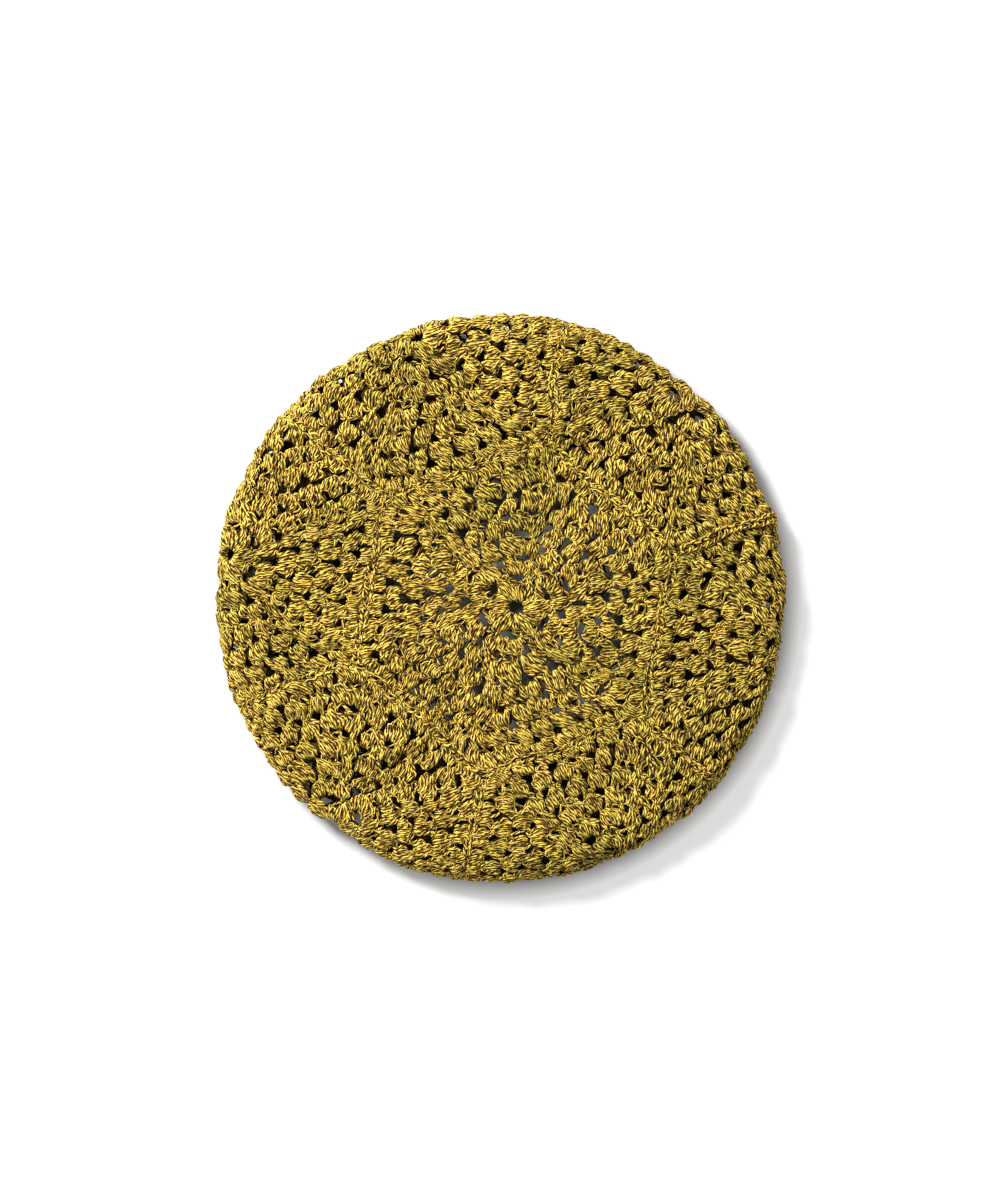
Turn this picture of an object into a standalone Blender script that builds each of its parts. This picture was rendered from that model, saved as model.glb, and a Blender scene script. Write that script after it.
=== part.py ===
# A crocheted tam that lies on its underside, crown up: a crown hexagon, six side hexagons
# that turn over the outer edge and back to the head opening, the seams that join them,
# and a headband turned up inside the opening.
# Metres, +Z up. The origin is on the surface below the middle of the outline.

import math

import bmesh
import bpy
from mathutils import Vector

# Driving dimensions
TAM_DIAMETER = 0.290
TAM_HEIGHT = 0.028
FABRIC_WALL = 0.0035
MOTIF_APOTHEM = 0.074
CROWN_SHIFT_X = 0.0069
CROWN_SHIFT_Y = -0.0049
CROWN_DIP = 0.002
FIRST_MIDDLE = math.radians(49.5)
JOIN_WIDTH = 0.0046
JOIN_RISE = 0.0011
CENTRE_HOLE_RADIUS = 0.0026
EYELET_RADIUS = 0.0013
BAND_WALL = 0.0038
BAND_LEAN = 0.004
BAND_TO_CROWN = 0.0022
BAND_ROUND_RELIEF = 0.0005
PIECE_GAP = 0.0003

# Soft folds of the lying crown. A fold runs from one place to another, each given by its
# direction from the crown's centre in degrees and its distance as a share of MOTIF_APOTHEM.
# Its height is a share of FOLD_RISE, and below 0 it is a hollow.
FOLD_RISE = 0.0022
FOLD_WIDTH = 0.0085
FOLDS = (
    # from_direction, from_distance, to_direction, to_distance, height
    (92, 0.45, 90, 1.55, 1.0),
    (43, 0.48, 53, 1.45, 0.8),
    (222, 0.26, 195, 0.92, 0.8),
    (224, 0.55, 229, 1.30, 1.0),
    (307, 1.22, 325, 1.44, 0.7),
    (205, 1.52, 215, 1.80, -0.8),
    (299, 1.28, 290, 1.56, -0.8),
)

# Counts
SECTORS = 6
ROUNDS = 7
BAND_ROUNDS = 4
BAND_COLUMNS_PER_SIDE = 3
JOIN_STATIONS = 16
RING_STATIONS_PER_SIDE = 4

# Eyelets that are cut through: the round, and the places along each side of it
SIDE_EYELETS = {3: (1, 2)}
CROWN_EYELETS = {3: (1, 2), 5: (1, 2, 3, 4)}

# What follows from the driving dimensions
HALF_SECTOR = math.pi / SECTORS
CROWN_CENTRE = Vector((CROWN_SHIFT_X, CROWN_SHIFT_Y, 0.0))
TURN_RADIUS = (TAM_HEIGHT - FABRIC_WALL) / 2
INSET_APOTHEM = MOTIF_APOTHEM - JOIN_WIDTH / 2 - PIECE_GAP
ROUND_PITCH = INSET_APOTHEM / ROUNDS


def empty_scene():
    for old in list(bpy.data.objects):
        bpy.data.objects.remove(old, do_unlink=True)


def yarn_material(name, colour):
    material = bpy.data.materials.new(name)
    material.use_nodes = True
    shader = material.node_tree.nodes["Principled BSDF"]
    shader.inputs["Base Color"].default_value = (*colour, 1.0)
    shader.inputs["Roughness"].default_value = 0.9
    shader.inputs["Metallic"].default_value = 0.0
    return material


def level_spoke(direction):
    return Vector((math.cos(direction), math.sin(direction), 0.0))


def edge_reach(spoke):
    """Distance from the crown's centre along a level spoke to the round outline."""
    along = CROWN_CENTRE.dot(spoke)
    return math.sqrt((TAM_DIAMETER / 2) ** 2 - CROWN_CENTRE.length_squared + along ** 2) - along


def fold_height(place):
    """Height that the soft folds add at a level place measured from the crown's centre."""
    total = 0.0
    for from_direction, from_distance, to_direction, to_distance, height in FOLDS:
        start = level_spoke(math.radians(from_direction)) * (from_distance * MOTIF_APOTHEM)
        run = level_spoke(math.radians(to_direction)) * (to_distance * MOTIF_APOTHEM) - start
        share = (place - start).dot(run) / run.length_squared
        nearest = start + run * min(1.0, max(0.0, share))
        away = (place - nearest).length / FOLD_WIDTH
        total += height * FOLD_RISE * math.exp(-away * away)
    return total


def chart_to_spoke(across, out):
    """Angle off the sector's middle and distance along the fabric from the crown's centre.

    The chart is the fabric laid flat. Past the widest row of a side hexagon it narrows
    again, as the hexagon does, back to the head opening.
    """
    widest = 2 * MOTIF_APOTHEM
    if out <= widest:
        return math.atan2(across, out), math.hypot(across, out)
    back = 2 * widest - out
    angle = math.atan2(across, back)
    return angle, 2 * widest / math.cos(angle) - math.hypot(across, back)


def crown_height(place, flat_reach):
    """Height of the fabric's middle on the level top: a shallow dip, and the soft folds."""
    share = min(1.0, place.length / flat_reach)
    dip = CROWN_DIP * (1 + math.cos(math.pi * share)) / 2
    fade = 1 - share ** 8
    return TAM_HEIGHT - FABRIC_WALL / 2 - dip + fade * fold_height(place)


def crown_frame(place, flat_reach):
    """The fabric's frame on the top, with its slope read from two close places."""
    step = TURN_RADIUS / 50
    height = crown_height(place, flat_reach)
    slope_x = (crown_height(place + Vector((step, 0, 0)), flat_reach) - height) / step
    slope_y = (crown_height(place + Vector((0, step, 0)), flat_reach) - height) / step
    middle = CROWN_CENTRE + place + Vector((0.0, 0.0, height))
    return middle, Vector((-slope_x, -slope_y, 1.0)).normalized()


def fabric_frame(sector, across, out):
    """Middle of the fabric's wall at a place on the chart, and its direction facing out."""
    off_middle, path = chart_to_spoke(across, out)
    spoke = level_spoke(FIRST_MIDDLE + sector * 2 * HALF_SECTOR - off_middle)
    up = Vector((0.0, 0.0, 1.0))
    flat_reach = edge_reach(spoke) - FABRIC_WALL / 2 - TURN_RADIUS
    if path <= flat_reach:
        return crown_frame(spoke * path, flat_reach)
    turn_start = CROWN_CENTRE + spoke * flat_reach
    opening_edge = spoke * (MOTIF_APOTHEM / math.cos(off_middle))
    turn_length = math.pi * TURN_RADIUS
    under_length = (opening_edge - turn_start).length
    share = (path - flat_reach) / (3 * MOTIF_APOTHEM / math.cos(off_middle) - flat_reach)
    along = share * (turn_length + under_length)
    if along <= turn_length:
        turned = along / TURN_RADIUS
        level = turn_start + spoke * (TURN_RADIUS * math.sin(turned))
        height = TAM_HEIGHT / 2 + TURN_RADIUS * math.cos(turned)
        return level + up * height, spoke * math.sin(turned) + up * math.cos(turned)
    level = turn_start.lerp(opening_edge, (along - turn_length) / under_length)
    return level + up * (FABRIC_WALL / 2), -up


def wrap(bm, sector):
    """Move a flat slab from the chart to its place: x across, y out, z from inner 0 to outer 1."""
    for vertex in bm.verts:
        middle, facing = fabric_frame(sector, vertex.co.x, vertex.co.y)
        vertex.co = middle + facing * (FABRIC_WALL * (vertex.co.z - 0.5))


def ring_vertices(bm, circumradius, steps, centre_out):
    """One round of a hexagon on the chart, as a closed list that starts at a corner."""
    corners = []
    for corner in range(6):
        angle = math.radians(60 * corner)
        corners.append(Vector((math.cos(angle), math.sin(angle), 0.0)) * circumradius)
    centre = Vector((0.0, centre_out, 0.0))
    ring = []
    for side in range(6):
        for step in range(steps):
            place = corners[side].lerp(corners[(side + 1) % 6], step / steps)
            ring.append(bm.verts.new(centre + place))
    return ring


def hexagon_chart(bm, centre_out, eyelets):
    """A hexagon of crocheted rounds on the chart, pierced in the middle and at its eyelets."""
    rings = [ring_vertices(bm, CENTRE_HOLE_RADIUS, 1, centre_out)]
    for number in range(1, ROUNDS + 1):
        circumradius = number * ROUND_PITCH / math.cos(HALF_SECTOR)
        rings.append(ring_vertices(bm, circumradius, number, centre_out))
    pierced = []
    for side in range(6):
        after = (side + 1) % 6
        bm.faces.new((rings[0][side], rings[1][side], rings[1][after], rings[0][after]))
    for number in range(2, ROUNDS + 1):
        inner, outer = rings[number - 1], rings[number]
        for side in range(6):
            first_in, first_out = side * (number - 1), side * number
            for step in range(number):
                near = inner[(first_in + step) % len(inner)]
                here = outer[first_out + step]
                after = outer[(first_out + step + 1) % len(outer)]
                bm.faces.new((near, here, after))
                if step > 0:
                    before = inner[first_in + step - 1]
                    gap = bm.faces.new((here, near, before))
                    if step in eyelets.get(number, ()):
                        pierced.append(gap)
    inradius = ROUND_PITCH / 3
    bm.normal_update()
    bmesh.ops.inset_individual(bm, faces=pierced, thickness=inradius - EYELET_RADIUS)
    bmesh.ops.delete(bm, geom=pierced, context="FACES_ONLY")


def add_turn_rows(bm):
    """Extra rows across the part of a side hexagon that turns over the outer edge."""
    widest = 2 * MOTIF_APOTHEM
    flat_reach = TAM_DIAMETER / 2 - FABRIC_WALL / 2 - TURN_RADIUS
    first = flat_reach * math.cos(HALF_SECTOR)
    last = flat_reach + math.pi * TURN_RADIUS
    for row in range(-ROUNDS, ROUNDS):
        out = widest + (row + 0.5) * ROUND_PITCH
        if first < out < last:
            bmesh.ops.bisect_plane(
                bm,
                geom=bm.verts[:] + bm.edges[:] + bm.faces[:],
                plane_co=(0.0, out, 0.0),
                plane_no=(0.0, 1.0, 0.0),
            )


def slab(bm):
    """Give the flat chart its thickness, from z 0 to z 1."""
    grown = bmesh.ops.extrude_face_region(bm, geom=bm.faces[:])
    lifted = [item for item in grown["geom"] if isinstance(item, bmesh.types.BMVert)]
    bmesh.ops.translate(bm, verts=lifted, vec=(0.0, 0.0, 1.0))


def finish(bm, name, material):
    bmesh.ops.triangulate(bm, faces=bm.faces[:])
    bmesh.ops.recalc_face_normals(bm, faces=bm.faces[:])
    mesh = bpy.data.meshes.new(name)
    bm.to_mesh(mesh)
    bm.free()
    mesh.shade_smooth()
    mesh.materials.append(material)
    piece = bpy.data.objects.new(name, mesh)
    bpy.context.collection.objects.link(piece)
    return piece


def crown_hexagon(material):
    bm = bmesh.new()
    hexagon_chart(bm, 0.0, CROWN_EYELETS)
    slab(bm)
    wrap(bm, 0)
    return finish(bm, "crown_hexagon", material)


def side_hexagon(sector, material):
    bm = bmesh.new()
    hexagon_chart(bm, 2 * MOTIF_APOTHEM, SIDE_EYELETS)
    add_turn_rows(bm)
    slab(bm)
    wrap(bm, sector)
    return finish(bm, f"side_hexagon_{sector + 1}", material)


def ridge_section(places):
    """Five corners of a seam's section: two inner, two outer, and the raised one between.

    places gives the fabric's frame at the left edge, the middle and the right edge.
    """
    (left, left_out), (middle, middle_out), (right, right_out) = places
    half = FABRIC_WALL / 2
    rise = JOIN_RISE * max(0.0, middle_out.z)
    return [
        left - left_out * half,
        left + left_out * half,
        middle + middle_out * (half + rise),
        right + right_out * half,
        right - right_out * half,
    ]


def bridge_sections(bm, sections, closed):
    """A closed solid through a row of sections, which is a ring or has two flat ends."""
    loops = [[bm.verts.new(point) for point in section] for section in sections]
    count = len(sections[0])
    pairs = list(zip(loops, loops[1:]))
    if closed:
        pairs.append((loops[-1], loops[0]))
    for here, there in pairs:
        for corner in range(count):
            after = (corner + 1) % count
            bm.faces.new((here[corner], here[after], there[after], there[corner]))
    if not closed:
        bm.faces.new(loops[0])
        bm.faces.new(loops[-1])


def seam_place(sector, along, off_seam):
    """The fabric's frame beside the seam on the far side of a sector.

    along runs from the crown's centre to the widest point and back towards the head
    opening, off_seam is the distance from the seam, positive into the sector.
    """
    corner_out = 2 * MOTIF_APOTHEM / math.cos(HALF_SECTOR)
    radius = along if along <= corner_out else 2 * corner_out - along
    side = abs(off_seam)
    across = radius * math.sin(HALF_SECTOR) - side * math.cos(HALF_SECTOR)
    out = radius * math.cos(HALF_SECTOR) + side * math.sin(HALF_SECTOR)
    if off_seam < 0:
        sector, across = sector + 1, -across
    if along > corner_out:
        out = 4 * MOTIF_APOTHEM - out
    return sector, -across, out


def side_join(sector, material):
    bm = bmesh.new()
    start = (MOTIF_APOTHEM + JOIN_WIDTH / 2) / math.cos(HALF_SECTOR) + PIECE_GAP
    corner_out = 2 * MOTIF_APOTHEM / math.cos(HALF_SECTOR)
    end = 2 * corner_out - start
    sections = []
    for station in range(JOIN_STATIONS + 1):
        along = start + (end - start) * station / JOIN_STATIONS
        places = []
        for off_seam in (JOIN_WIDTH / 2, 0.0, -JOIN_WIDTH / 2):
            places.append(fabric_frame(*seam_place(sector, along, off_seam)))
        sections.append(ridge_section(places))
    bridge_sections(bm, sections, closed=False)
    return finish(bm, f"side_join_{sector + 1}", material)


def crown_join(material):
    bm = bmesh.new()
    sections = []
    for sector in range(SECTORS):
        for station in range(RING_STATIONS_PER_SIDE):
            slant = math.tan(HALF_SECTOR) * (1 - 2 * station / RING_STATIONS_PER_SIDE)
            places = []
            for step in (-1, 0, 1):
                out = MOTIF_APOTHEM + step * JOIN_WIDTH / 2
                places.append(fabric_frame(sector, out * slant, out))
            sections.append(ridge_section(places))
    bridge_sections(bm, sections, closed=True)
    return finish(bm, "crown_join", material)


def band_section(foot, inward):
    """The headband's section over one foot point, from the surface up and back down."""
    top = TAM_HEIGHT - FABRIC_WALL - CROWN_DIP - BAND_TO_CROWN
    levels = 2 * BAND_ROUNDS
    outer, inner = [], []
    for level in range(levels + 1):
        share = level / levels
        relief = BAND_ROUND_RELIEF if level % 2 else 0.0
        lean = BAND_LEAN * share
        height = Vector((0.0, 0.0, top * share))
        outer.append(foot + inward * (lean + BAND_ROUND_RELIEF - relief) + height)
        inner.append(foot + inward * (lean + BAND_WALL - BAND_ROUND_RELIEF + relief) + height)
    return outer + inner[::-1]


def headband(material):
    bm = bmesh.new()
    sections = []
    for sector in range(SECTORS):
        for column in range(BAND_COLUMNS_PER_SIDE):
            slant = math.tan(HALF_SECTOR) * (1 - 2 * column / BAND_COLUMNS_PER_SIDE)
            back = MOTIF_APOTHEM + JOIN_WIDTH / 2
            edge, _ = fabric_frame(sector, back * slant, 4 * MOTIF_APOTHEM - back)
            foot = Vector((edge.x, edge.y, 0.0))
            sections.append(band_section(foot, -foot.normalized()))
    bridge_sections(bm, sections, closed=True)
    return finish(bm, "headband", material)


def main():
    empty_scene()
    mustard = yarn_material("mustard_yarn", (0.33, 0.215, 0.042))
    olive_gold = yarn_material("olive_gold_yarn", (0.27, 0.18, 0.036))
    dark_gold = yarn_material("dark_gold_yarn", (0.22, 0.145, 0.03))
    crown_hexagon(mustard)
    crown_join(dark_gold)
    for sector in range(SECTORS):
        side_hexagon(sector, olive_gold)
        side_join(sector, dark_gold)
    headband(dark_gold)


main()
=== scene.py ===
import bpy
import math
import numpy as np
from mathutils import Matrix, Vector


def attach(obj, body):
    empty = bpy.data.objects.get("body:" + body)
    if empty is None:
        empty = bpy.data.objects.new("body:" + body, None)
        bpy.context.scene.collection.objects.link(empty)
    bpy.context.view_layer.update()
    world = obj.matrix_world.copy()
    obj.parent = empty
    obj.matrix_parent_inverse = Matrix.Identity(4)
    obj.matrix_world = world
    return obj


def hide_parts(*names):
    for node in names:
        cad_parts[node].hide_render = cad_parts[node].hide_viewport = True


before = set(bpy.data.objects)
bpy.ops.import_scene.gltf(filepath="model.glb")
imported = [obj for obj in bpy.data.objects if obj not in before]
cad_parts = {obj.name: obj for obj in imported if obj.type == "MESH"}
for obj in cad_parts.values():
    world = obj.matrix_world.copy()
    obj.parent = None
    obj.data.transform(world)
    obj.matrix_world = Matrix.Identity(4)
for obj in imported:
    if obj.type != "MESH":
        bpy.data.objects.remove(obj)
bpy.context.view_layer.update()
print("frame loaded:", len(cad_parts), "nodes")

# The fabric's own shape, in metres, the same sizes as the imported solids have
tam = {
    "diameter": 0.290,
    "height": 0.028,
    "wall": 0.0035,
    "apothem": 0.074,              # crown's centre to the middle of a motif's side
    "crownShift": (0.0069, -0.0049),
    "crownDip": 0.002,
    "firstMiddle": math.radians(49.5),
    "foldRise": 0.0022,
    "foldWidth": 0.0085,
    "foldFade": 8,                 # the higher, the nearer to the edge they reach
    # from direction, from distance, to direction, to distance, height; degrees and apothems
    "folds": (
        (92, 0.45, 90, 1.55, 1.0),
        (43, 0.48, 53, 1.45, 0.8),
        (222, 0.26, 195, 0.92, 0.8),
        (224, 0.55, 229, 1.30, 1.0),
        (307, 1.22, 325, 1.44, 0.7),
        (205, 1.52, 215, 1.80, -0.8),
        (299, 1.28, 290, 1.56, -0.8),
    ),
}
sides = 6
halfSector = math.pi / sides
turnRadius = (tam["height"] - tam["wall"]) / 2
hexagonSide = 2 * tam["apothem"] * math.tan(halfSector)
slopeStep = turnRadius / 50        # over which the crown's slope is measured


# Wrapping a flat chart of stitches onto the tam

def spokeTo(direction):
    return np.stack((np.cos(direction), np.sin(direction)), axis=-1)


def edgeReach(spoke):
    centre = np.array(tam["crownShift"])
    along = spoke @ centre
    return np.sqrt((tam["diameter"] / 2) ** 2 - centre @ centre + along ** 2) - along


def foldHeight(place):
    total = np.zeros(len(place))
    for fromWay, fromShare, toWay, toShare, height in tam["folds"]:
        start = spokeTo(math.radians(fromWay)) * fromShare * tam["apothem"]
        run = spokeTo(math.radians(toWay)) * toShare * tam["apothem"] - start
        share = np.clip((place - start) @ run / (run @ run), 0, 1)
        away = np.linalg.norm(place - start - share[:, None] * run, axis=1) / tam["foldWidth"]
        total += height * tam["foldRise"] * np.exp(-away ** 2)
    return total


def crownHeight(place, flatReach):
    share = np.minimum(1, np.linalg.norm(place, axis=1) / flatReach)
    dip = tam["crownDip"] * (1 + np.cos(np.pi * share)) / 2
    folds = (1 - share ** tam["foldFade"]) * foldHeight(place)
    return tam["height"] - tam["wall"] / 2 - dip + folds


def fabricFrame(sector, across, out):
    # middle of the wall and the way it faces, for places on the flat chart
    apothem, wall, height = tam["apothem"], tam["wall"], tam["height"]
    back = out > 2 * apothem
    depth = np.where(back, 4 * apothem - out, out)
    offMiddle = np.arctan2(across, depth)
    path = np.hypot(across, depth)
    path = np.where(back, 4 * apothem / np.cos(offMiddle) - path, path)
    spoke = spokeTo(tam["firstMiddle"] + sector * 2 * halfSector - offMiddle)
    centre = np.array(tam["crownShift"])
    flatReach = edgeReach(spoke) - wall / 2 - turnRadius
    middle = np.zeros((len(across), 3))
    facing = np.zeros((len(across), 3))

    place = spoke * path[:, None]
    level = crownHeight(place, flatReach)
    slopeX = (crownHeight(place + (slopeStep, 0), flatReach) - level) / slopeStep
    slopeY = (crownHeight(place + (0, slopeStep), flatReach) - level) / slopeStep
    middle[:, :2] = centre + place
    middle[:, 2] = level
    facing[:] = np.stack((-slopeX, -slopeY, np.ones(len(across))), axis=1)

    over = path > flatReach
    turnStart = centre + spoke * flatReach[:, None]
    openingEdge = spoke * (apothem / np.cos(offMiddle))[:, None]
    underLength = np.linalg.norm(openingEdge - turnStart, axis=1)
    share = (path - flatReach) / (3 * apothem / np.cos(offMiddle) - flatReach)
    along = share * (np.pi * turnRadius + underLength)
    turned = np.clip(along / turnRadius, 0, np.pi)
    middle[over, :2] = (turnStart + spoke * (turnRadius * np.sin(turned))[:, None])[over]
    middle[over, 2] = (height / 2 + turnRadius * np.cos(turned))[over]
    facing[over, :2] = (spoke * np.sin(turned)[:, None])[over]
    facing[over, 2] = np.cos(turned)[over]

    under = over & (along > np.pi * turnRadius)
    inShare = ((along - np.pi * turnRadius) / underLength)[:, None]
    middle[under, :2] = (turnStart + (openingEdge - turnStart) * inShare)[under]
    middle[under, 2] = wall / 2
    return middle, facing / np.linalg.norm(facing, axis=1)[:, None]


def motifPlace(flat, sector):
    middle, facing = fabricFrame(sector, flat[:, 0], flat[:, 1])
    return middle + facing * flat[:, 2:3]


def sideSeamPlace(flat, sector):
    # x is the distance off the seam, y runs from the crown out, over and back under
    off, along = flat[:, 0], flat[:, 1]
    cornerOut = 2 * tam["apothem"] / math.cos(halfSector)
    radius = np.where(along <= cornerOut, along, 2 * cornerOut - along)
    across = radius * math.sin(halfSector) - abs(off) * math.cos(halfSector)
    out = radius * math.cos(halfSector) + abs(off) * math.sin(halfSector)
    out = np.where(along > cornerOut, 4 * tam["apothem"] - out, out)
    farSide = off < 0
    middle, facing = fabricFrame(sector + farSide, np.where(farSide, across, -across), out)
    return middle + facing * flat[:, 2:3]


def slantAlong(sidesRound):
    # which side of the hexagon a place on its edge is at, and how far off that side's middle
    side = np.floor(sidesRound)
    return side, math.tan(halfSector) * (1 - 2 * (sidesRound - side))


def ringPlace(flat):
    # x is the distance out of the ring, y runs along it
    side, slant = slantAlong(flat[:, 1] / hexagonSide)
    out = tam["apothem"] + flat[:, 0]
    middle, facing = fabricFrame(side, out * slant, out)
    return middle + facing * flat[:, 2:3]


# Stitches: one path of yarn each, x in stitch widths, y from foot 0 to top 1, z in metres

trebleStitch = {
    "path": (
        (0.04, 0.09, -0.0014), (0.01, 0.13, -0.0003), (0.00, 0.21, 0.0008),
        (0.02, 0.42, 0.0015), (0.00, 0.70, 0.0015), (-0.06, 0.94, 0.0011),
        (-0.20, 1.10, 0.0006), (-0.38, 1.08, 0.0001), (-0.40, 0.88, 0.0003),
        (-0.37, 0.62, 0.0008), (-0.31, 0.40, 0.0008), (-0.21, 0.21, 0.0005),
        (-0.10, 0.12, -0.0005), (0.02, 0.08, -0.0014), (0.12, 0.12, -0.0005),
        (0.21, 0.21, 0.0005), (0.31, 0.40, 0.0010), (0.37, 0.64, 0.0011),
        (0.32, 0.92, 0.0009), (0.06, 1.08, 0.0010), (-0.30, 1.16, 0.0006),
        (-0.16, 1.30, 0.0003), (0.24, 1.30, 0.0005), (0.52, 1.12, 0.0001),
    ),
    "inRow": 3,                    # a shell is three of them worked into one space
    "sideDrop": 0.0002,            # the outer two lie lower and shorter than the middle one
    "sideShort": 0.17,
    "taper": 0.34,                 # how fast the shell narrows above its shoulders
    "shoulder": 0.66,
}
# one half of the dark sheet behind a shell, painted shade where there is only shade, from its foot
# up, and the heights it lies between
paintedShadeSheet = {
    "outline": ((0.95, 0.17), (1.95, 0.36), (1.60, 0.74), (0.80, 0.98), (0.46, 1.22)),
    "near": -0.0007,
    "far": -0.0015,
}
chainStitch = {
    "path": (
        (0.00, 0.00, -0.0008), (-0.62, 0.30, 0.0002), (-0.72, 0.80, 0.0009),
        (-0.30, 1.28, 0.0006), (0.00, 1.36, -0.0002), (0.30, 1.28, 0.0006),
        (0.72, 0.80, 0.0009), (0.62, 0.30, 0.0002), (0.10, 0.10, -0.0008),
        (0.00, 0.60, -0.0012),
    ),
}
doubleCrochet = {
    "path": (
        (-0.50, 0.96, 0.0004), (-0.10, 1.08, 0.0010), (0.32, 0.98, 0.0006),
        (0.28, 0.76, -0.0004), (-0.10, 0.50, -0.0003), (-0.24, 0.20, 0.0006),
        (0.00, -0.06, 0.0002), (0.24, 0.20, 0.0008), (0.12, 0.55, 0.0008),
        (0.22, 0.86, 0.0002),
    ),
}
# Any stitch stands alone and straight, unless it says otherwise
singleStitch = {"inRow": 1, "sideDrop": 0, "sideShort": 0, "taper": 0, "shoulder": 0}


def stitchCurve(name, stitch):
    stitch = {**singleStitch, **stitch}
    curve = bpy.data.curves.new(name, "CURVE")
    curve.dimensions = "3D"
    count = stitch["inRow"]
    for number in range(count):
        shift = number - (count - 1) / 2
        spline = curve.splines.new("POLY")
        spline.points.add(len(stitch["path"]) - 1)
        for point, (x, y, z) in zip(spline.points, stitch["path"]):
            height = y * (1 - stitch["sideShort"] * shift ** 2)
            depth = z - stitch["sideDrop"] * shift ** 2
            narrower = 1 - stitch["taper"] * max(0, height - stitch["shoulder"])
            point.co = ((x + shift) * narrower, height, depth, 1)
    piece = bpy.data.objects.new(name, curve)
    bpy.context.collection.objects.link(piece)
    return piece


def paintedShadePrism(name):
    # a dark prism behind a shell: painted shade that fills the gaps between its loops
    right = list(paintedShadeSheet["outline"])
    corners = right + [(-x, y) for x, y in reversed(right)]
    count = len(corners)
    levels = (paintedShadeSheet["far"], paintedShadeSheet["near"])
    points = [(x, y, height) for height in levels for x, y in corners]
    faces = [tuple(reversed(range(count))), tuple(range(count, 2 * count))]
    for corner in range(count):
        after = (corner + 1) % count
        faces.append((corner, after, after + count, corner + count))
    mesh = bpy.data.meshes.new(name)
    mesh.from_pydata(points, [], faces)
    piece = bpy.data.objects.new(name, mesh)
    bpy.context.collection.objects.link(piece)
    return piece


# The tree that works a stitch at every place of a chart

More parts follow.
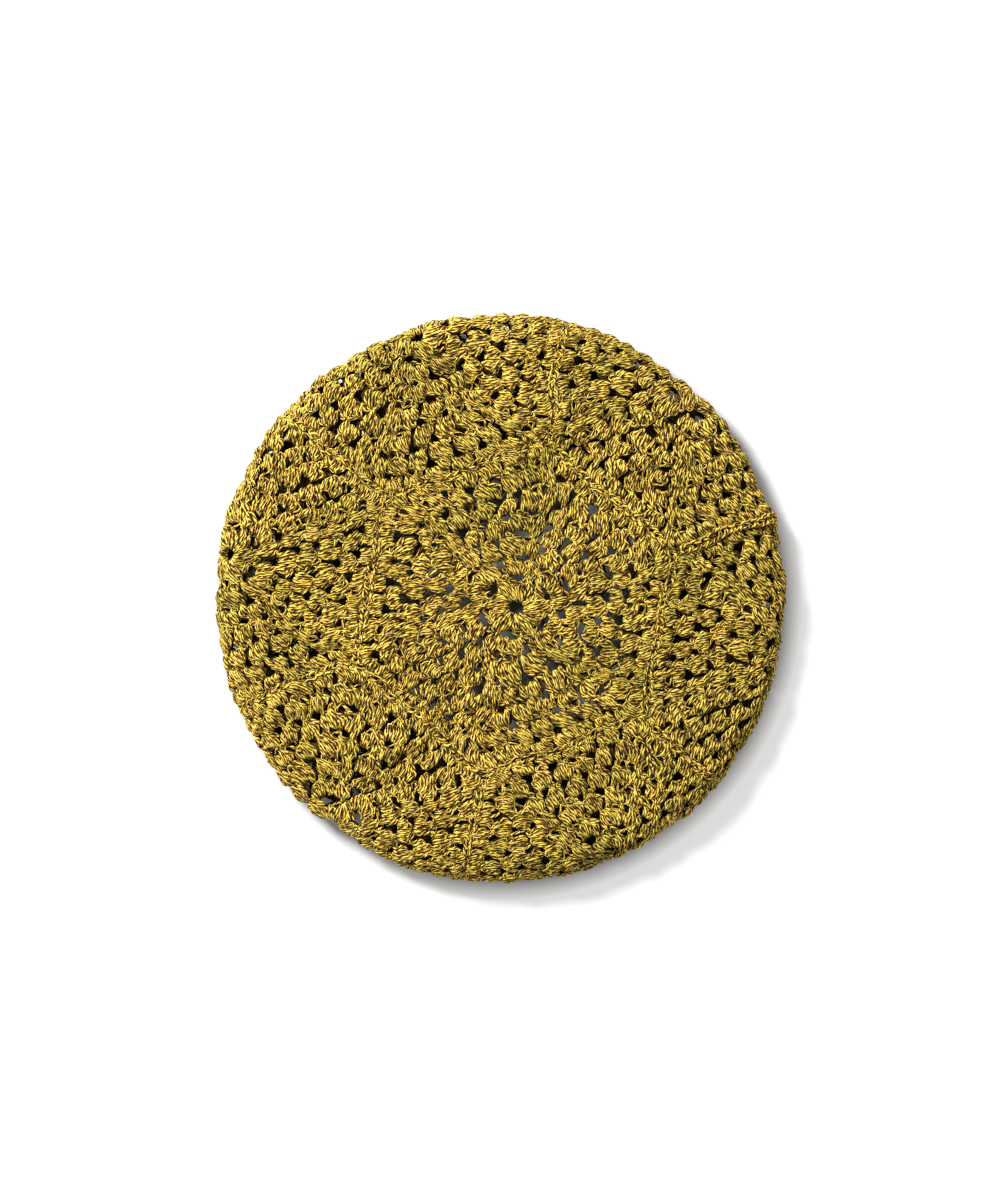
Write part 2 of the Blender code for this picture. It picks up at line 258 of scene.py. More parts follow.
def yarnStitchTree():
    tree = bpy.data.node_groups.new("yarnStitches", "GeometryNodeTree")
    sockets = {}

    def addSocket(name, kind, default=None):
        socket = tree.interface.new_socket(name, in_out="INPUT", socket_type=kind)
        if default is not None:
            socket.default_value = default
        sockets[name] = socket.identifier

    addSocket("Geometry", "NodeSocketGeometry")
    addSocket("Stitch", "NodeSocketObject")
    addSocket("Back", "NodeSocketObject")
    addSocket("Yarn Radius", "NodeSocketFloat", 0.0009)
    addSocket("Yarn Sides", "NodeSocketInt", 5)
    addSocket("Wander", "NodeSocketFloat", 0.0006)
    addSocket("Wander Scale", "NodeSocketFloat", 120.0)
    addSocket("Flare", "NodeSocketFloat", 1.0)
    addSocket("Eyelet", "NodeSocketFloat", 0.0)
    addSocket("Eyelet Reach", "NodeSocketFloat", 0.005)
    addSocket("Seed", "NodeSocketFloat", 0.0)
    addSocket("Material", "NodeSocketMaterial")
    addSocket("Back Material", "NodeSocketMaterial")
    tree.interface.new_socket("Geometry", in_out="OUTPUT", socket_type="NodeSocketGeometry")

    def node(kind, **settings):
        made = tree.nodes.new(kind)
        for name, value in settings.items():
            setattr(made, name, value)
        return made

    def link(fromSocket, toSocket):
        tree.links.new(fromSocket, toSocket)

    def named(name, kind):
        made = node("GeometryNodeInputNamedAttribute", data_type=kind)
        made.inputs["Name"].default_value = name
        return made.outputs["Attribute"]

    def vectorMath(operation, first, second=None):
        made = node("ShaderNodeVectorMath", operation=operation)
        link(first, made.inputs[0])
        if isinstance(second, tuple):
            made.inputs[1].default_value = second
        elif second is not None:
            link(second, made.inputs["Scale" if operation == "SCALE" else 1])
        return made.outputs["Value" if operation == "LENGTH" else "Vector"]

    def numberMath(operation, first, second):
        made = node("ShaderNodeMath", operation=operation)
        link(first, made.inputs[0])
        link(second, made.inputs[1])
        return made.outputs[0]

    def store(name, kind, domain, geometry, value):
        made = node("GeometryNodeStoreNamedAttribute", data_type=kind, domain=domain)
        made.inputs["Name"].default_value = name
        link(geometry, made.inputs["Geometry"])
        if value is True:
            made.inputs["Value"].default_value = True
        else:
            link(value, made.inputs["Value"])
        return made.outputs["Geometry"]

    def placeAtPoints(source):
        # one of the source for each point, real so that it can be bent
        shape = node("GeometryNodeObjectInfo", transform_space="ORIGINAL")
        link(source, shape.inputs["Object"])
        place = node("GeometryNodeInstanceOnPoints")
        link(given.outputs["Geometry"], place.inputs["Points"])
        link(shape.outputs["Geometry"], place.inputs["Instance"])
        realize = node("GeometryNodeRealizeInstances")
        link(place.outputs["Instances"], realize.inputs["Geometry"])
        return realize.outputs["Geometry"]

    def moveTo(geometry, position):
        made = node("GeometryNodeSetPosition")
        link(geometry, made.inputs["Geometry"])
        link(position, made.inputs["Position"])
        return made.outputs["Geometry"]

    def giveMaterial(geometry, material):
        made = node("GeometryNodeSetMaterial")
        link(geometry, made.inputs["Geometry"])
        link(material, made.inputs["Material"])
        return made

    given = node("NodeGroupInput")

    # a stitch stands from its foot to its top, and its width follows from one to the other
    foot = named("foot", "FLOAT_VECTOR")
    top = named("top", "FLOAT_VECTOR")
    sideways = named("sideways", "FLOAT_VECTOR")
    position = node("GeometryNodeInputPosition").outputs["Position"]
    local = vectorMath("SUBTRACT", position, foot)
    parts = node("ShaderNodeSeparateXYZ")
    link(local, parts.inputs[0])
    rise = parts.outputs["Y"]
    stand = vectorMath("SCALE", vectorMath("SUBTRACT", top, foot), rise)
    widths = node("ShaderNodeMix", data_type="FLOAT")
    widths.clamp_factor = False
    spread = node("ShaderNodeMapRange")
    link(rise, spread.inputs["Value"])
    flare = numberMath("POWER", spread.outputs["Result"], given.outputs["Flare"])
    link(flare, widths.inputs["Factor"])
    link(named("footWidth", "FLOAT"), widths.inputs["A"])
    link(named("topWidth", "FLOAT"), widths.inputs["B"])
    reach = numberMath("MULTIPLY", parts.outputs["X"], widths.outputs["Result"])
    aside = vectorMath("SCALE", sideways, reach)
    lift = node("ShaderNodeCombineXYZ")
    link(parts.outputs["Z"], lift.inputs["Z"])
    standing = vectorMath("ADD", vectorMath("ADD", foot, stand),
                          vectorMath("ADD", aside, lift.outputs[0]))

    # a hand-worked yarn wanders a little
    seedAway = node("ShaderNodeCombineXYZ")
    link(given.outputs["Seed"], seedAway.inputs["Z"])
    noise = node("ShaderNodeTexNoise")
    noise.inputs["Detail"].default_value = 1.0
    link(given.outputs["Wander Scale"], noise.inputs["Scale"])
    link(vectorMath("ADD", standing, seedAway.outputs[0]), noise.inputs["Vector"])
    centred = vectorMath("SUBTRACT", noise.outputs["Color"], (0.5, 0.5, 0.5))
    wandered = vectorMath("ADD", standing, vectorMath("SCALE", centred, given.outputs["Wander"]))

    # an eyelet at the nearest foot pushes the yarn aside
    nearest = node("GeometryNodeSampleNearest", domain="POINT")
    link(given.outputs["Geometry"], nearest.inputs["Geometry"])
    link(wandered, nearest.inputs["Sample Position"])
    eyelet = node("GeometryNodeSampleIndex", data_type="FLOAT_VECTOR", domain="POINT")
    link(given.outputs["Geometry"], eyelet.inputs["Geometry"])
    link(named("eyelet", "FLOAT_VECTOR"), eyelet.inputs["Value"])
    link(nearest.outputs["Index"], eyelet.inputs["Index"])
    away = vectorMath("SUBTRACT", wandered, eyelet.outputs["Value"])
    level = vectorMath("MULTIPLY", away, (1, 1, 0))
    push = node("ShaderNodeMapRange")
    link(vectorMath("LENGTH", level), push.inputs["Value"])
    link(given.outputs["Eyelet Reach"], push.inputs["From Max"])
    link(given.outputs["Eyelet"], push.inputs["To Min"])
    push.inputs["To Max"].default_value = 0
    pushed = vectorMath("SCALE", vectorMath("NORMALIZE", level), push.outputs["Result"])
    opened = vectorMath("ADD", wandered, pushed)
    path = moveTo(placeAtPoints(given.outputs["Stitch"]), opened)

    # round yarn, which keeps where each point lies round it and along it for the plies
    length = node("GeometryNodeSplineParameter").outputs["Length"]
    path = store("along", "FLOAT", "POINT", path, length)
    ring = node("GeometryNodeCurvePrimitiveCircle", mode="RADIUS")
    link(given.outputs["Yarn Sides"], ring.inputs["Resolution"])
    link(given.outputs["Yarn Radius"], ring.inputs["Radius"])
    onRing = vectorMath("NORMALIZE", position)
    ringCurve = store("around", "FLOAT_VECTOR", "POINT", ring.outputs["Curve"], onRing)
    tube = node("GeometryNodeCurveToMesh")
    tube.inputs["Fill Caps"].default_value = True
    link(path, tube.inputs["Curve"])
    link(ringCurve, tube.inputs["Profile Curve"])
    plyParts = node("ShaderNodeSeparateXYZ")
    link(named("around", "FLOAT_VECTOR"), plyParts.inputs[0])
    plyPlace = node("ShaderNodeCombineXYZ")
    link(plyParts.outputs["X"], plyPlace.inputs["X"])
    link(plyParts.outputs["Y"], plyPlace.inputs["Y"])
    link(named("along", "FLOAT"), plyPlace.inputs["Z"])
    yarn = store("ply", "FLOAT_VECTOR", "POINT", tube.outputs["Mesh"], plyPlace.outputs[0])
    smooth = node("GeometryNodeSetShadeSmooth")
    link(yarn, smooth.inputs["Geometry"])

    # the dark sheets of painted shade behind the shells stand in the same way
    paintedShades = moveTo(placeAtPoints(given.outputs["Back"]), standing)
    both = node("GeometryNodeJoinGeometry")
    link(store("isPaintedShade", "BOOLEAN", "FACE", paintedShades, True), both.inputs["Geometry"])
    link(smooth.outputs["Geometry"], both.inputs["Geometry"])
    real = node("GeometryNodeRealizeInstances")
    link(both.outputs["Geometry"], real.inputs["Geometry"])
    dye = giveMaterial(real.outputs["Geometry"], given.outputs["Material"])
    paintedShadeDye = giveMaterial(dye.outputs["Geometry"], given.outputs["Back Material"])
    link(named("isPaintedShade", "BOOLEAN"), paintedShadeDye.inputs["Selection"])
    result = node("NodeGroupOutput")
    link(paintedShadeDye.outputs["Geometry"], result.inputs["Geometry"])
    return tree, sockets


def chartMesh(name, places):
    # one point for each stitch or shell, with what the tree asks of it
    mesh = bpy.data.meshes.new(name)
    mesh.vertices.add(len(places))
    mesh.vertices.foreach_set("co", np.array([place["foot"] for place in places]).ravel())
    for label in ("foot", "top", "sideways", "eyelet"):
        layer = mesh.attributes.new(label, "FLOAT_VECTOR", "POINT")
        layer.data.foreach_set("vector", np.array([place[label] for place in places]).ravel())
    for label in ("footWidth", "topWidth", "tone"):
        layer = mesh.attributes.new(label, "FLOAT", "POINT")
        layer.data.foreach_set("value", np.array([place[label] for place in places]))
    return mesh


def evenPlace(foot, top, width, tone):
    # of a plain stitch, as wide at its top as at its foot
    return {"foot": foot, "top": top, "sideways": np.array((1.0, 0, 0)), "eyelet": foot,
            "footWidth": width, "topWidth": width, "tone": tone}


# A plain yarn; a piece's own yarn says what is different
plainYarn = {
    "Yarn Sides": 5,
    "Flare": 1.0,                  # below 1, a stitch spreads fastest just above its foot
    "Eyelet": 0.0,                 # how far an eyelet pushes the yarn aside
    "Eyelet Reach": 0.005,
}


def workStitches(name, chart, stitch, yarn, seed, material, back=None):
    piece = bpy.data.objects.new(name, chart)
    bpy.context.collection.objects.link(piece)
    modifier = piece.modifiers.new("stitches", "NODES")
    modifier.node_group = stitchTree
    settings = {**plainYarn, **yarn, "Seed": float(seed), "Stitch": stitch, "Material": material}
    # back is the dark sheet of painted shade put behind each shell
    if back:
        settings.update({"Back": back, "Back Material": paintedShadeYarn})
    for label, value in settings.items():
        modifier[stitchSockets[label]] = value
    bpy.context.view_layer.update()
    evaluated = piece.evaluated_get(bpy.context.evaluated_depsgraph_get())
    mesh = bpy.data.meshes.new_from_object(evaluated)
    mesh.name = name
    piece.modifiers.remove(modifier)
    piece.data = mesh
    for label in ("foot", "top", "sideways", "footWidth", "topWidth", "along", "around",
                  "eyelet", "isPaintedShade"):
        if label in mesh.attributes:
            mesh.attributes.remove(mesh.attributes[label])
    return piece


# Handwork is never even: slow waves pull the whole fabric a little aside, up and down
handwork = {
    "waves": 14,
    "shortest": 0.022,
    "longest": 0.080,
    "pull": 0.0007,
    "swell": 0.00035,
    "outerCalm": 0.50,             # the outer edge moves this much less
    "calmRise": 6,                 # the higher, the nearer to the edge that begins
    "seed": 5,
}


def handPull(placed):
    random = np.random.default_rng(handwork["seed"])
    moved = placed.copy()
    reach = np.hypot(placed[:, 0], placed[:, 1]) / (tam["diameter"] / 2)
    calm = 1 - handwork["outerCalm"] * np.clip(reach, 0, 1) ** handwork["calmRise"]
    for wave in range(handwork["waves"]):
        turn = random.uniform(0, 2 * math.pi)
        length = random.uniform(handwork["shortest"], handwork["longest"])
        run = placed[:, 0] * math.cos(turn) + placed[:, 1] * math.sin(turn)
        rise = np.sin(run * 2 * math.pi / length + random.uniform(0, 2 * math.pi))
        way = random.uniform(-1, 1, 2) * handwork["pull"]
        moved[:, 0] += way[0] * rise * calm
        moved[:, 1] += way[1] * rise * calm
        moved[:, 2] += handwork["swell"] * random.uniform(-1, 1) * rise * calm
    return moved


def wrapPiece(piece, placing):
    mesh = piece.data
    flat = np.empty(len(mesh.vertices) * 3)
    mesh.vertices.foreach_get("co", flat)
    placed = handPull(placing(flat.reshape(-1, 3)))
    placed[:, 2] = np.maximum(placed[:, 2], 0)     # the lowest yarn lies flat on the floor
    mesh.vertices.foreach_set("co", placed.ravel())
    mesh.update()


def keepPiece(piece, node):
    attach(piece, "root")
    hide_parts(node)


# Yarn material: the plies of the "ply" attribute, unevenly twisted and dyed, with painted shade in
# the grooves between them

plyLook = {
    "plies": 3,
    "lay": 0.0108,                 # metres along the yarn for one turn of the plies
    "twist": 5,                    # how unevenly they turn, in radians, and how fine that is
    "twistScale": 260,
    "toneTurn": 40,                # turns each stitch's plies by its tone
    "tuft": 1.5,                   # soft lumps
    "tuftScale": 330,
    "fibre": 0.4,
    "fibreScale": 1400,
    "paintedGrooveEnd": 0.44,             # heights at which the colours stand; below the first, the grooves get painted shade
    "middleAt": 0.68,
    "bump": 0.0005,
    "bumpStrength": 0.9,
    "roughness": 0.85,
    "specular": 0.12,
    "sheen": 0.10,
    "sheenRoughness": 0.5,
}
dyeLook = {
    "scale": 19,
    "contrast": 3.0,
    "byTone": 0.9,
    "share": 0.15,                 # more of it is more olive
}


def yarnMaterial(name, shades):
    material = bpy.data.materials.new(name)
    material.use_nodes = True
    tree = material.node_tree
    shader = tree.nodes["Principled BSDF"]

    def node(kind, **settings):
        made = tree.nodes.new(kind)
        for label, value in settings.items():
            setattr(made, label, value)
        return made

    def number(operation, first, second=None):
        made = node("ShaderNodeMath", operation=operation)
        for index, value in enumerate((first, second)):
            if isinstance(value, (int, float)):
                made.inputs[index].default_value = value
            elif value is not None:
                tree.links.new(value, made.inputs[index])
        return made.outputs[0]

    place = node("ShaderNodeTexCoord").outputs["Object"]

    def noiseAt(scale, detail):
        made = node("ShaderNodeTexNoise")
        made.inputs["Scale"].default_value = scale
        made.inputs["Detail"].default_value = detail
        tree.links.new(place, made.inputs["Vector"])
        return made.outputs["Fac"]

    def swing(noise, amount):
        return number("MULTIPLY", number("SUBTRACT", noise, 0.5), amount)

    ply = node("ShaderNodeAttribute", attribute_name="ply")
    parts = node("ShaderNodeSeparateXYZ")
    tree.links.new(ply.outputs["Vector"], parts.inputs[0])
    tone = node("ShaderNodeAttribute", attribute_name="tone").outputs["Fac"]
    turn = number("ARCTAN2", parts.outputs["Y"], parts.outputs["X"])
    turnsAlong = 2 * math.pi * plyLook["plies"] / plyLook["lay"]
    phase = number("ADD", number("MULTIPLY", turn, plyLook["plies"]),
                   number("MULTIPLY", parts.outputs["Z"], turnsAlong))
    phase = number("ADD", phase, number("MULTIPLY", tone, plyLook["toneTurn"]))
    twist = noiseAt(plyLook["twistScale"], 1)
    phase = number("ADD", phase, number("MULTIPLY", twist, plyLook["twist"]))
    # rounded plies with sharp grooves between them, where the colour ramp paints shade
    crest = number("ABSOLUTE", number("SINE", number("MULTIPLY", phase, 0.5)))
    fibre = swing(noiseAt(plyLook["fibreScale"], 2), plyLook["fibre"])
    tuft = swing(noiseAt(plyLook["tuftScale"], 1), plyLook["tuft"])
    height = number("ADD", crest, number("ADD", fibre, tuft))

    # painted shade: the ramp darkens the grooves between plies to near black and the middle partly,
    # where shadow falls
    ramp = node("ShaderNodeValToRGB")
    stops = ramp.color_ramp.elements
    stops[0].position, stops[0].color = plyLook["paintedGrooveEnd"], (*shades["paintedGrooveShade"], 1)
    stops[1].position, stops[1].color = 1.0, (*shades["crest"], 1)
    stops.new(plyLook["middleAt"]).color = (*shades["middle"], 1)
    tree.links.new(height, ramp.inputs["Fac"])

    olive = node("ShaderNodeMix", data_type="RGBA", blend_type="MULTIPLY")
    olive.inputs["B"].default_value = (*shades["oliveCast"], 1)
    patch = number("ADD", swing(noiseAt(dyeLook["scale"], 3), dyeLook["contrast"]),
                   number("MULTIPLY", tone, dyeLook["byTone"]))
    patch = number("ADD", patch, dyeLook["share"])
    clamp = node("ShaderNodeClamp")
    tree.links.new(patch, clamp.inputs[0])
    tree.links.new(clamp.outputs[0], olive.inputs["Factor"])
    tree.links.new(ramp.outputs["Color"], olive.inputs["A"])
    tree.links.new(olive.outputs["Result"], shader.inputs["Base Color"])

    bump = node("ShaderNodeBump")
    bump.inputs["Strength"].default_value = plyLook["bumpStrength"]
    bump.inputs["Distance"].default_value = plyLook["bump"]
    tree.links.new(height, bump.inputs["Height"])
    tree.links.new(bump.outputs["Normal"], shader.inputs["Normal"])
    shader.inputs["Roughness"].default_value = plyLook["roughness"]
    shader.inputs["Specular IOR Level"].default_value = plyLook["specular"]
    shader.inputs["Sheen Weight"].default_value = plyLook["sheen"]
    shader.inputs["Sheen Roughness"].default_value = plyLook["sheenRoughness"]
    shader.inputs["Sheen Tint"].default_value = (*shades["crest"], 1)
    return material


# the groove colours are painted shade between the plies, and the middle colours are partly painted
# shade
crownShades = {
    "paintedGrooveShade": (0.009, 0.0030, 0.0004),
    "middle": (0.192, 0.098, 0.008),
    "crest": (0.676, 0.474, 0.078),
    "oliveCast": (0.68, 0.76, 0.64),
}
sideShades = {
    "paintedGrooveShade": (0.009, 0.0032, 0.0004),
    "middle": (0.190, 0.099, 0.009),
    "crest": (0.676, 0.478, 0.080),
    "oliveCast": (0.69, 0.77, 0.66),
}
joinShades = {
    "paintedGrooveShade": (0.009, 0.0030, 0.0004),
    "middle": (0.190, 0.098, 0.008),
    "crest": (0.676, 0.476, 0.078),
    "oliveCast": (0.70, 0.74, 0.62),
}
# painted shade: near-black yarn colours for the sheets behind the shells
paintedShadeColours = {
    "paintedGrooveShade": (0.010, 0.005, 0.001),
    "middle": (0.030, 0.016, 0.002),
    "crest": (0.060, 0.034, 0.005),
    "oliveCast": (0.74, 0.78, 0.68),
}

crownYarn = yarnMaterial("crownYarn", crownShades)
sideYarn = yarnMaterial("sideYarn", sideShades)
joinYarn = yarnMaterial("joinYarn", joinShades)
bandYarn = yarnMaterial("bandYarn", joinShades)
paintedShadeYarn = yarnMaterial("paintedShadeYarn", paintedShadeColours)
stitchTree, stitchSockets = yarnStitchTree()
print("materials and stitch tree made")


# Motifs: seven rounds of shells, each in the space between two shells of the round before

motif = {
    "rounds": 7,
    "pitch": 0.009957,
    "firstFoot": 0.0046,
    "ringFoot": 0.0024,            # the ring in the middle, which the first round is worked into
    "lastTop": 0.0724,
    "footWidth": 0.0014,
    "topWidth": 0.0050,            # at most, for one treble of a shell
    "treblesWide": 2.9,            # how many fill a shell's share of its round
    "cornerSpread": 0.0022,        # from a hexagon's corner to the foot of the shell there
    # how far a shell's foot or top lies from its even place, aside, out and up
    "footSlip": (0.0006, 0.0006, 0.0002),
    "topSlip": (0.0006, 0.0006, 0.0003),
    "roundTurn": 0.07,             # radians that the rounds turn off their place, least outside
    "lean": 0.14,                  # radians, the spread of the ways that shells lean
    "uneven": 0.10,
    "yarn": {"Yarn Radius": 0.00085, "Wander": 0.0024, "Wander Scale": 210.0,
             "Flare": 0.52, "Eyelet": 0.0019},
    "crownSeed": 11,
    "sideSeed": 21,                # of the first side motif; the others count on
}


def turned(place, angle):
    x, y, z = place
    cos, sin = math.cos(angle), math.sin(angle)
    return np.array((x * cos + y * sin, y * cos - x * sin, z))


def roundOfShells(random, side, number, footTurn, topTurn):
    # one side of one round, which has as many shells as the round's number
    turn = 2 * halfSector * side
    outward = np.array((math.sin(turn), math.cos(turn), 0))
    sideways = np.array((math.cos(turn), -math.sin(turn), 0))
    footOut = motif["firstFoot"] + (number - 1) * motif["pitch"]
    topOut = min(footOut + motif["pitch"], motif["lastTop"])
    if number == 1:
        footOut = motif["ringFoot"]
    footRun = 2 * footOut * math.tan(halfSector)
    topRun = 2 * topOut * math.tan(halfSector)
    for shellNumber in range(number):
        footShare = shellNumber / (number - 1) - 0.5 if number > 1 else 0.0
        footSlide = footShare * (footRun - 2 * motif["cornerSpread"])
        topSlide = ((shellNumber + 0.5) / number - 0.5) * topRun
        foot = turned(outward * footOut + sideways * footSlide, footTurn)
        top = turned(outward * topOut + sideways * topSlide, topTurn)
        foot = foot + random.uniform(-1, 1, 3) * motif["footSlip"]
        top = top + random.uniform(-1, 1, 3) * motif["topSlip"]
        lean = random.normal(0, motif["lean"])
        stretch = random.uniform(1 - motif["uneven"], 1 + motif["uneven"])
        topWidth = min(motif["topWidth"], topRun / number / motif["treblesWide"])
        yield {
            "foot": foot,
            "top": top,
            "sideways": sideways * math.cos(lean) + outward * math.sin(lean),
            # the first round is worked into the ring, and the others into their own feet
            "eyelet": foot if number > 1 else np.zeros(3),
            "footWidth": min(motif["footWidth"], footRun / trebleStitch["inRow"]),
            "topWidth": topWidth * stretch,
            "tone": random.uniform(-0.5, 0.5),
        }


def shellPlaces(seed):
    random = np.random.default_rng(seed)
    rounds = motif["rounds"]
    calm = 1 - np.arange(rounds + 1) / rounds
    turns = random.uniform(-1, 1, rounds + 1) * motif["roundTurn"] * calm
    return [place for side in range(sides) for number in range(1, rounds + 1)
            for place in roundOfShells(random, side, number, turns[number - 1], turns[number])]


shell = stitchCurve("shellPath", trebleStitch)
shellBacking = paintedShadePrism("shellBacking")


def makeMotif(name, sector, centreOut, seed, material):
    chart = chartMesh(name + "Chart", shellPlaces(seed))
    piece = workStitches(name, chart, shell, motif["yarn"], seed, material, shellBacking)
    wrapPiece(piece, lambda flat: motifPlace(flat + (0, centreOut, 0), sector))
    return piece


crown = makeMotif("crownMotif", 0, 0.0, motif["crownSeed"], crownYarn)
keepPiece(crown, "crown_hexagon")
for sector in range(sides):
    seed = motif["sideSeed"] + sector
    piece = makeMotif(f"sideMotif{sector + 1}", sector, 2 * tam["apothem"], seed, sideYarn)
    keepPiece(piece, f"side_hexagon_{sector + 1}")
print("motifs worked")


# Seams: a row of chain stitches over the edges that it joins

seam = {
    "pitch": 0.0042,
    "width": 0.0022,
    "clear": 0.0026,               # from the crown's seam to the start of a side seam
    "slip": 0.0004,
    "yarn": {"Yarn Radius": 0.00096, "Wander": 0.0024, "Wander Scale": 180.0},
    "sideSeed": 41,
    "crownSeed": 51,
}
# The side seam that stands up as a ridge
ridge = {
    "sector": 5,
    "width": 0.0029,
    "rise": 0.0016,
    "yarn": {"Yarn Radius": 0.00115, "Wander": 0.0010, "Wander Scale": 180.0},
}
chain = stitchCurve("chainPath", chainStitch)


def seamPlaces(length, count, width, rise, seed):
    random = np.random.default_rng(seed)
    places = []
    for stitch in range(count):
        slip = random.uniform(-1, 1, 2) * seam["slip"]
        foot = np.array((slip[0], length * stitch / count, rise))
        top = np.array((slip[1], length * (stitch + 1) / count, rise))
        places.append(evenPlace(foot, top, width, random.uniform(-0.5, 0.5)))
    return places


def makeSideSeam(sector):
    start = (tam["apothem"] + seam["clear"]) / math.cos(halfSector)
    length = 4 * tam["apothem"] / math.cos(halfSector) - 2 * start
    count = round(length / seam["pitch"])
    seed = seam["sideSeed"] + sector
    if sector == ridge["sector"]:
        width, rise, yarn = ridge["width"], ridge["rise"], ridge["yarn"]
    else:
        width, rise, yarn = seam["width"], 0.0, seam["yarn"]
    chart = chartMesh("seamChart", seamPlaces(length, count, width, rise, seed))
    piece = workStitches(f"sideSeam{sector + 1}", chart, chain, yarn, seed, joinYarn)
    wrapPiece(piece, lambda flat: sideSeamPlace(flat + (0, start, 0), sector))
    return piece


def makeCrownSeam():
    count = sides * round(hexagonSide / seam["pitch"])
    seed = seam["crownSeed"]
    chart = chartMesh("ringChart", seamPlaces(sides * hexagonSide, count, seam["width"], 0.0, seed))
    piece = workStitches("crownSeam", chart, chain, seam["yarn"], seed, joinYarn)
    wrapPiece(piece, ringPlace)
    return piece


for sector in range(sides):
    keepPiece(makeSideSeam(sector), f"side_join_{sector + 1}")
keepPiece(makeCrownSeam(), "crown_join")
print("seams worked")


# Headband: rounds of double crochet turned up inside the head opening

band = {
    "rounds": 5,
    "stitchesPerSide": 21,
    "bottom": 0.0008,
    "top": 0.0203,
    "topLoop": 0.002,              # height left for the last round's loops
    "lean": 0.004,                 # how far the top stands in from the foot
    "wall": 0.0038,
    "footBack": 0.0023,            # from the edge of the head opening to the foot
    "yarn": {"Yarn Radius": 0.00090, "Wander": 0.0012, "Wander Scale": 150.0},
    "seed": 61,
}
bandPath = stitchCurve("bandPath", doubleCrochet)


def bandPlaces():
    # x runs round the head opening, y is the height
    random = np.random.default_rng(band["seed"])
    width = hexagonSide / band["stitchesPerSide"]
    height = (band["top"] - band["topLoop"]) / band["rounds"]
    places = []
    for number in range(band["rounds"]):
        for stitch in range(sides * band["stitchesPerSide"]):
            slide = (stitch + 0.5 * (number % 2)) * width
            foot = np.array((slide, band["bottom"] + number * height, 0))
            tone = random.uniform(-0.5, 0.5)
            places.append(evenPlace(foot, foot + (0, height, 0), width, tone))
    return places


def bandPlace(flat):
    side, slant = slantAlong(flat[:, 0] / hexagonSide)
    back = tam["apothem"] + band["footBack"]
    edge = fabricFrame(side, back * slant, np.full(len(flat), 4 * tam["apothem"] - back))[0]
    foot = edge[:, :2]
    inward = -foot / np.linalg.norm(foot, axis=1)[:, None]
    inset = band["lean"] * flat[:, 1] / band["top"] + band["wall"] / 2 + flat[:, 2]
    return np.column_stack((foot + inward * inset[:, None], flat[:, 1]))


bandChart = chartMesh("bandChart", bandPlaces())
headband = workStitches("headbandRounds", bandChart, bandPath, band["yarn"], band["seed"], bandYarn)
wrapPiece(headband, bandPlace)
keepPiece(headband, "headband")
print("headband worked")

for path in (shell, shellBacking, chain, bandPath):
    bpy.data.objects.remove(path, do_unlink=True)


# Floor, light and camera

studio = {
    "floorSize": 40.0,
    "floorColour": (0.42, 0.42, 0.42),
    "floorRoughness": 0.9,
    "paintedFloorGlow": 0.50,             # painted light: the floor glows round the tam and not under it, painting out its cast shadow
    "paintedGlowEdge": (0.1455, 0.156),
    "lowStrength": 1.6,            # the soft walls of the studio
    "highStrength": 0.05,          # its dark ceiling, round the camera
    "ceilingEdge": (0.52, 0.76),   # where walls turn to ceiling, as a share of straight up
    "keyPlace": (-1.10, 1.10, 1.50),
    "keySize": 0.65,
    "keyPower": 110,
    "cameraView": 0.5106,          # metres across the photograph
    "lens": 100,
    "sensor": 36,
    "farthest": 20,
    "aim": (-0.0002, -0.0008, 0.014),
}


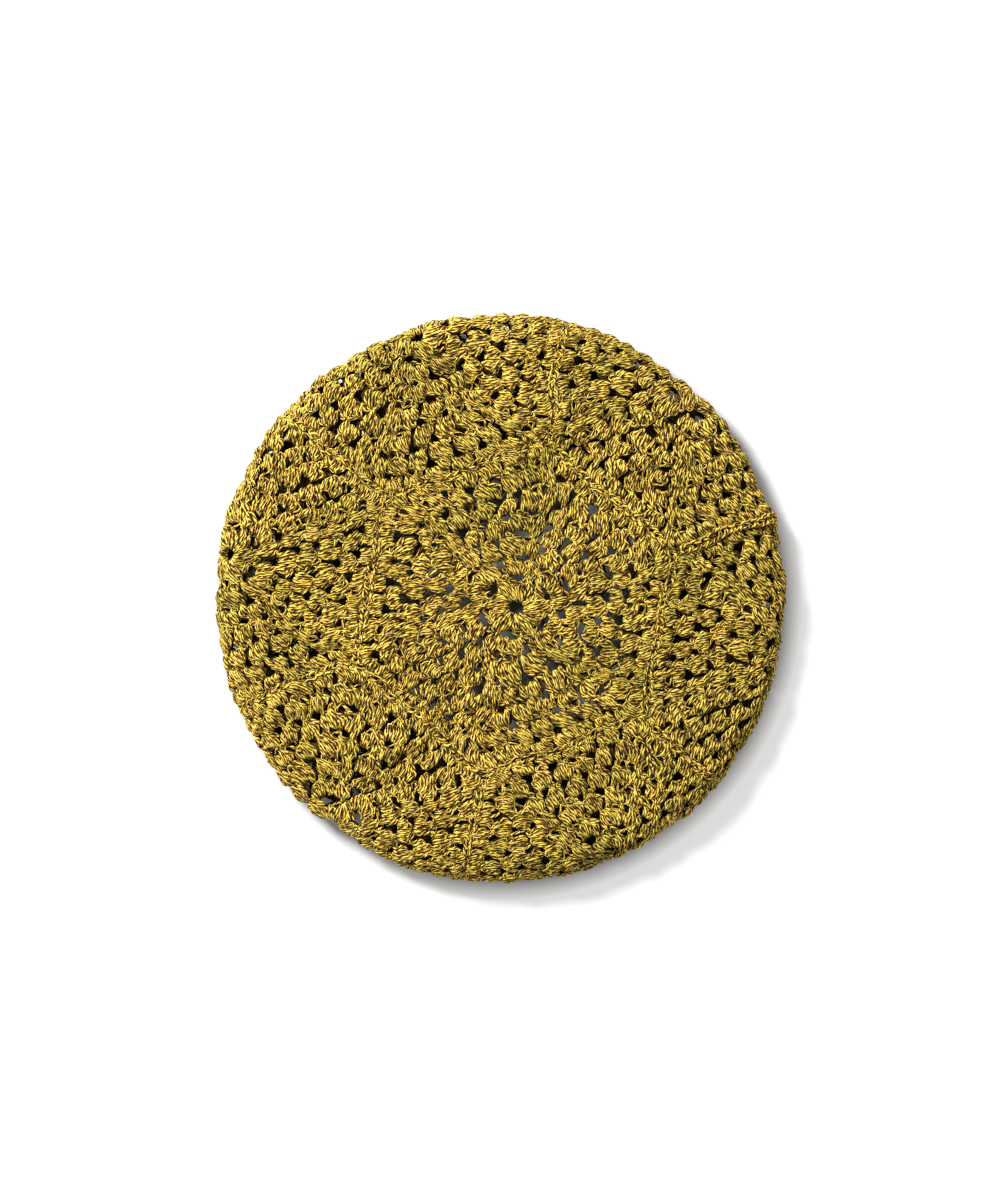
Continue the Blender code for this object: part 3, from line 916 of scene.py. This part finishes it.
def makeFloor():
    half = studio["floorSize"] / 2
    corners = [(-half, -half, 0), (half, -half, 0), (half, half, 0), (-half, half, 0)]
    mesh = bpy.data.meshes.new("floor")
    mesh.from_pydata(corners, [], [(0, 1, 2, 3)])
    material = bpy.data.materials.new("paleFloor")
    material.use_nodes = True
    tree = material.node_tree
    shader = tree.nodes["Principled BSDF"]
    shader.inputs["Base Color"].default_value = (*studio["floorColour"], 1)
    shader.inputs["Roughness"].default_value = studio["floorRoughness"]
    place = tree.nodes.new("ShaderNodeTexCoord")
    reach = tree.nodes.new("ShaderNodeVectorMath")
    reach.operation = "LENGTH"
    # painted light: the floor glows outside the tam's outline, so the cast shadow there is painted
    # out
    paintedGlow = tree.nodes.new("ShaderNodeMapRange")
    paintedGlow.inputs["From Min"].default_value = studio["paintedGlowEdge"][0]
    paintedGlow.inputs["From Max"].default_value = studio["paintedGlowEdge"][1]
    paintedGlow.inputs["To Max"].default_value = studio["paintedFloorGlow"]
    tree.links.new(place.outputs["Object"], reach.inputs[0])
    tree.links.new(reach.outputs["Value"], paintedGlow.inputs["Value"])
    tree.links.new(paintedGlow.outputs["Result"], shader.inputs["Emission Strength"])
    shader.inputs["Emission Color"].default_value = (1, 1, 1, 1)
    mesh.materials.append(material)
    floor = bpy.data.objects.new("floor", mesh)
    bpy.context.collection.objects.link(floor)


def makeLight():
    world = bpy.data.worlds.new("studio")
    world.use_nodes = True
    tree = world.node_tree
    background = tree.nodes["Background"]
    background.inputs["Color"].default_value = (1, 1, 1, 1)
    way = tree.nodes.new("ShaderNodeTexCoord")
    parts = tree.nodes.new("ShaderNodeSeparateXYZ")
    fade = tree.nodes.new("ShaderNodeMapRange")
    fade.interpolation_type = "SMOOTHSTEP"
    fade.inputs["From Min"].default_value = studio["ceilingEdge"][0]
    fade.inputs["From Max"].default_value = studio["ceilingEdge"][1]
    fade.inputs["To Min"].default_value = studio["lowStrength"]
    fade.inputs["To Max"].default_value = studio["highStrength"]
    tree.links.new(way.outputs["Generated"], parts.inputs[0])
    tree.links.new(parts.outputs["Z"], fade.inputs["Value"])
    tree.links.new(fade.outputs["Result"], background.inputs["Strength"])
    bpy.context.scene.world = world
    lamp = bpy.data.lights.new("key", "AREA")
    lamp.shape = "DISK"
    lamp.size = studio["keySize"]
    lamp.energy = studio["keyPower"]
    key = bpy.data.objects.new("key", lamp)
    key.location = studio["keyPlace"]
    bpy.context.collection.objects.link(key)
    key.rotation_euler = Vector(studio["keyPlace"]).to_track_quat("Z", "Y").to_euler()


def makeCamera():
    data = bpy.data.cameras.new("camera")
    data.sensor_fit = "HORIZONTAL"
    data.sensor_width = studio["sensor"]
    data.lens = studio["lens"]
    data.clip_end = studio["farthest"]
    camera = bpy.data.objects.new("camera", data)
    x, y, z = studio["aim"]
    distance = studio["cameraView"] * studio["lens"] / studio["sensor"]
    camera.location = (x, y, z + distance)
    bpy.context.collection.objects.link(camera)
    bpy.context.scene.camera = camera


makeFloor()
makeLight()
makeCamera()
bpy.context.scene.view_settings.view_transform = "Standard"
print("studio ready")
